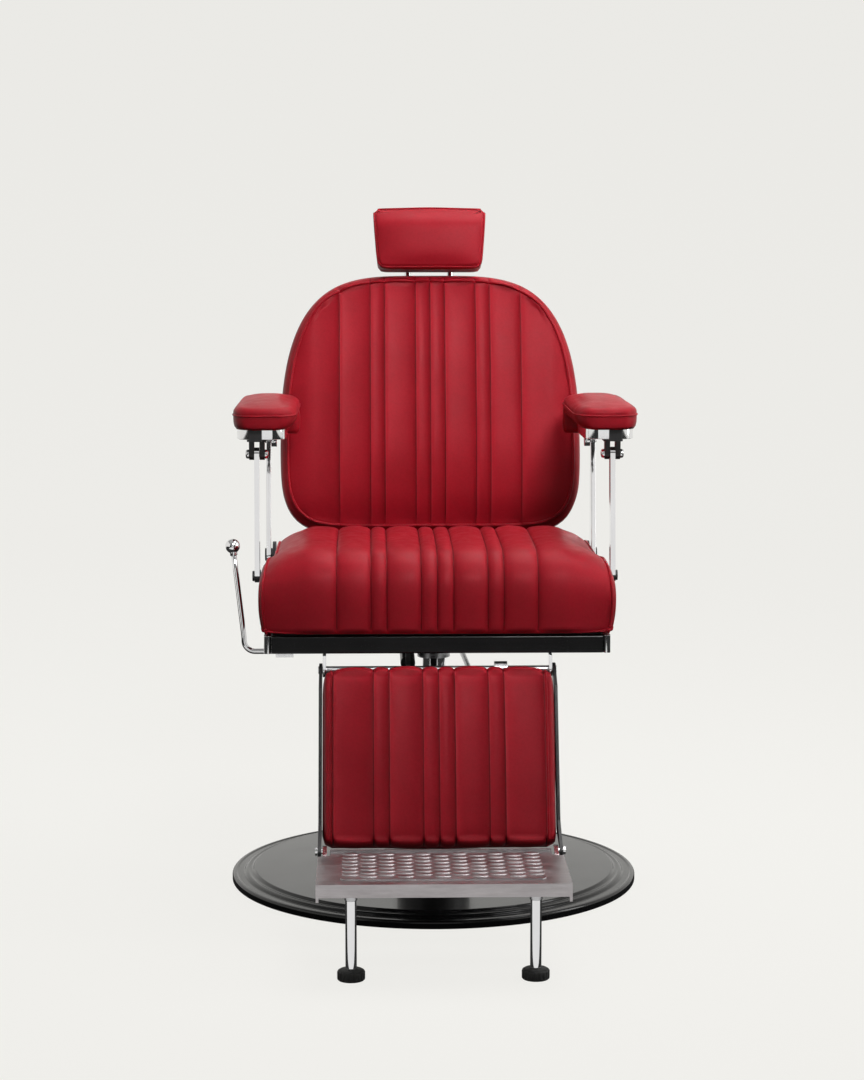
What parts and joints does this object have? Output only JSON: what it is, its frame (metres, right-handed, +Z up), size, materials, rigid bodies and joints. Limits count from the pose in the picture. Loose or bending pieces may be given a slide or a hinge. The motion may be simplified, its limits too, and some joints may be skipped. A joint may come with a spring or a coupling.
{
  "type": "hydraulic barber chair",
  "caption": "Hydraulic barber chair with channelled red upholstery, padded arms, headrest, linked reclining back and leg rest, folding footplate and round pump base.",
  "frame": {"origin": "centre of the base's underside, on the floor", "axes": "+Z up along the lift ram, -Y towards the front of the chair, +X towards the right seen from the front; the recline lever is at -X"},
  "size_m": [0.6805, 1.02, 1.1278],
  "materials": {
    "red_leather": "satin",
    "gloss_black": "gloss",
    "black_steel": "satin",
    "chrome": "polished",
    "steel": "satin",
    "cast_aluminium": "satin",
    "rubber": "matte",
    "black_plastic": "satin"
  },
  "bodies": {
    "base": {"floor_plate": "black_steel", "floor_ring": "rubber", "base_cover": "gloss_black", "pump_cylinder": "black_steel", "gland_cap": "chrome", "ram_seal": "rubber", "pedal_pin": "steel"},
    "pedal": {"pump_pedal": "chrome", "pedal_pad": "rubber"},
    "plunger": {"pump_plunger": "steel"},
    "ram": {"ram": "chrome", "swivel_bearing": "steel"},
    "seat": {"seat_mount": "black_steel", "seat_pan": "black_steel", "front_panel": "gloss_black", "side_rail_left": "chrome", "side_rail_right": "chrome", "seat_bracket_left": "black_steel", "seat_bracket_right": "black_steel", "legrest_lug_left": "chrome", "legrest_lug_right": "chrome", "seat_cushion": "red_leather", "gas_spring_tube": "black_steel", "lever_bearing": "chrome"},
    "lever": {"recline_lever": "chrome"},
    "spring_rod": {"gas_spring_rod": "chrome"},
    "back": {"back_cushion": "red_leather", "back_board": "red_leather", "back_frame": "black_steel", "headrest_guide": "chrome", "rear_strut_left": "chrome", "rear_strut_right": "chrome"},
    "knob": {"clamp_knob": "black_plastic"},
    "headrest_post": {"headrest_post": "chrome"},
    "headrest_pad": {"headrest_bracket": "black_steel", "headrest_pad": "red_leather"},
    "sync": {"sync_rod": "steel"},
    "strut_left": {"front_strut_left": "chrome", "strut_bush_left": "black_plastic"},
    "strut_right": {"front_strut_right": "chrome", "strut_bush_right": "black_plastic"},
    "arm_left": {"arm_housing_left": "chrome", "arm_clevis_left": "black_steel", "arm_pad_left": "red_leather"},
    "arm_right": {"arm_housing_right": "chrome", "arm_clevis_right": "black_steel", "arm_pad_right": "red_leather"},
    "legrest": {"legrest_pad": "red_leather", "legrest_board": "black_steel", "legrest_shaft": "steel", "legrest_rail_left": "black_steel", "legrest_rail_right": "black_steel"},
    "footplate": {"footplate": "cast_aluminium", "toe_link_left": "chrome", "toe_link_right": "chrome", "foot_post_left": "chrome", "foot_post_right": "chrome", "rubber_foot_left": "rubber", "rubber_foot_right": "rubber"}
  },
  "joints": [
    {"name": "lift", "type": "slide", "parent": "base", "child": "ram", "axis": [0, 0, 1], "range_m": [0, 0.15]},
    {"name": "swivel", "type": "hinge", "parent": "ram", "child": "seat", "pos_m": [0, 0, 0.3872], "axis": [0, 0, 1], "continuous": true},
    {"name": "pedal", "type": "hinge", "parent": "base", "child": "pedal", "pos_m": [0, 0.098, 0.082], "axis": [-1, 0, 0], "range_deg": [0, 12], "stiffness_Nm_per_rad": 15, "springref_deg": -14.32},
    {"name": "plunger", "type": "slide", "parent": "base", "child": "plunger", "axis": [0, 0, -1], "range_m": [0, 0.009]},
    {"name": "lever", "type": "hinge", "parent": "seat", "child": "lever", "pos_m": [-0.15, -0.15, 0.412], "axis": [1, 0, 0], "range_deg": [0, 20], "stiffness_Nm_per_rad": 1, "springref_deg": -11.46},
    {"name": "spring_rod", "type": "slide", "parent": "seat", "child": "spring_rod", "axis": [0, -1, 0], "range_m": [0, 0.1252]},
    {"name": "recline", "type": "hinge", "parent": "seat", "child": "back", "pos_m": [0, 0.165, 0.53], "axis": [-1, 0, 0], "range_deg": [0, 50]},
    {"name": "sync", "type": "hinge", "parent": "back", "child": "sync", "pos_m": [0.024, 0.2136, 0.42578], "axis": [-1, 0, 0], "range_deg": [-50, 0]},
    {"name": "strut_left", "type": "hinge", "parent": "seat", "child": "strut_left", "pos_m": [-0.289, -0.115, 0.53], "axis": [-1, 0, 0], "range_deg": [0, 50]},
    {"name": "strut_right", "type": "hinge", "parent": "seat", "child": "strut_right", "pos_m": [0.289, -0.115, 0.53], "axis": [-1, 0, 0], "range_deg": [0, 50]},
    {"name": "arm_left", "type": "hinge", "parent": "strut_left", "child": "arm_left", "pos_m": [-0.289, -0.095, 0.727], "axis": [-1, 0, 0], "range_deg": [-50, 0]},
    {"name": "arm_right", "type": "hinge", "parent": "strut_right", "child": "arm_right", "pos_m": [0.289, -0.095, 0.727], "axis": [-1, 0, 0], "range_deg": [-50, 0]},
    {"name": "legrest", "type": "hinge", "parent": "seat", "child": "legrest", "pos_m": [0, -0.255, 0.399], "axis": [-1, 0, 0], "range_deg": [0, 50]},
    {"name": "footplate", "type": "hinge", "parent": "legrest", "child": "footplate", "pos_m": [0, -0.432, 0.15], "axis": [-1, 0, 0], "range_deg": [0, 80]},
    {"name": "headrest_height", "type": "slide", "parent": "back", "child": "headrest_post", "axis": [0, 0.2334, 0.9724], "range_m": [0, 0.12]},
    {"name": "headrest_tilt", "type": "hinge", "parent": "headrest_post", "child": "headrest_pad", "pos_m": [0, 0.36704, 1.04684], "axis": [-1, 0, 0], "range_deg": [0, 40]},
    {"name": "knob", "type": "hinge", "parent": "back", "child": "knob", "pos_m": [0, 0.33622, 0.91849], "axis": [0, 0.9724, -0.2334], "range_deg": [0, 180]}
  ],
  "couplings": [
    {"joint": "plunger", "follows": "pedal", "m_per_rad": 0.04},
    {"joint": "spring_rod", "follows": "recline", "m_per_rad": 0.1433},
    {"joint": "sync", "follows": "recline", "ratio": -1},
    {"joint": "strut_left", "follows": "recline", "ratio": 1},
    {"joint": "strut_right", "follows": "recline", "ratio": 1},
    {"joint": "arm_left", "follows": "recline", "ratio": -1},
    {"joint": "arm_right", "follows": "recline", "ratio": -1},
    {"joint": "legrest", "follows": "recline", "ratio": 1}
  ]
}
